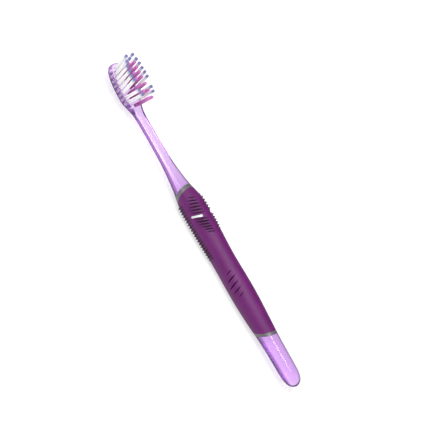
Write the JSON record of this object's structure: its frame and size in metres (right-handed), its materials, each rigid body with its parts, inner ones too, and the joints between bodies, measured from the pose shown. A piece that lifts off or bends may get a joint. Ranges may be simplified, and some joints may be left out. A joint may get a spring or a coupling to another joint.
{
  "type": "manual toothbrush",
  "caption": "Straight manual toothbrush with a small oval head of upright tufts, a slim translucent neck and a soft ribbed grip with thumb panels.",
  "frame": {"origin": "middle of the bounding box in X and Y, on the plane that the brush rests on", "axes": "+X along the handle towards the tip of the head, +Z towards the bristle side"},
  "size_m": [0.19, 0.0142, 0.0209],
  "materials": {
    "body": "clear tinted, polished",
    "core": "silver grey, satin",
    "grip": "soft matte",
    "inlay": "polished",
    "bristle_white": "nylon filaments, blue towards the tips",
    "bristle_magenta": "nylon filaments",
    "anchor": "bare strip"
  },
  "bodies": {
    "root": {"brush_body": "body", "grip_core": "core", "grip_overmould": "grip", "inlay_bar_left": "inlay", "inlay_bar_right": "inlay", "tuft_anchors": "anchor", "tuft_heel_left": "bristle_magenta", "tuft_heel_right": "bristle_magenta", "tuft_inner_left_1": "bristle_magenta", "tuft_inner_left_2": "bristle_magenta", "tuft_inner_left_3": "bristle_magenta", "tuft_inner_left_4": "bristle_magenta", "tuft_inner_left_5": "bristle_magenta", "tuft_inner_left_6": "bristle_magenta", "tuft_inner_right_1": "bristle_magenta", "tuft_inner_right_2": "bristle_magenta", "tuft_inner_right_3": "bristle_magenta", "tuft_inner_right_4": "bristle_magenta", "tuft_inner_right_5": "bristle_magenta", "tuft_inner_right_6": "bristle_magenta", "tuft_left_1": "bristle_white", "tuft_left_2": "bristle_white", "tuft_left_3": "bristle_white", "tuft_left_4": "bristle_white", "tuft_left_5": "bristle_white", "tuft_left_6": "bristle_white", "tuft_left_7": "bristle_white", "tuft_left_8": "bristle_white", "tuft_right_1": "bristle_white", "tuft_right_2": "bristle_white", "tuft_right_3": "bristle_white", "tuft_right_4": "bristle_white", "tuft_right_5": "bristle_white", "tuft_right_6": "bristle_white", "tuft_right_7": "bristle_white", "tuft_right_8": "bristle_white", "tuft_tip": "bristle_white"}
  },
  "joints": []
}
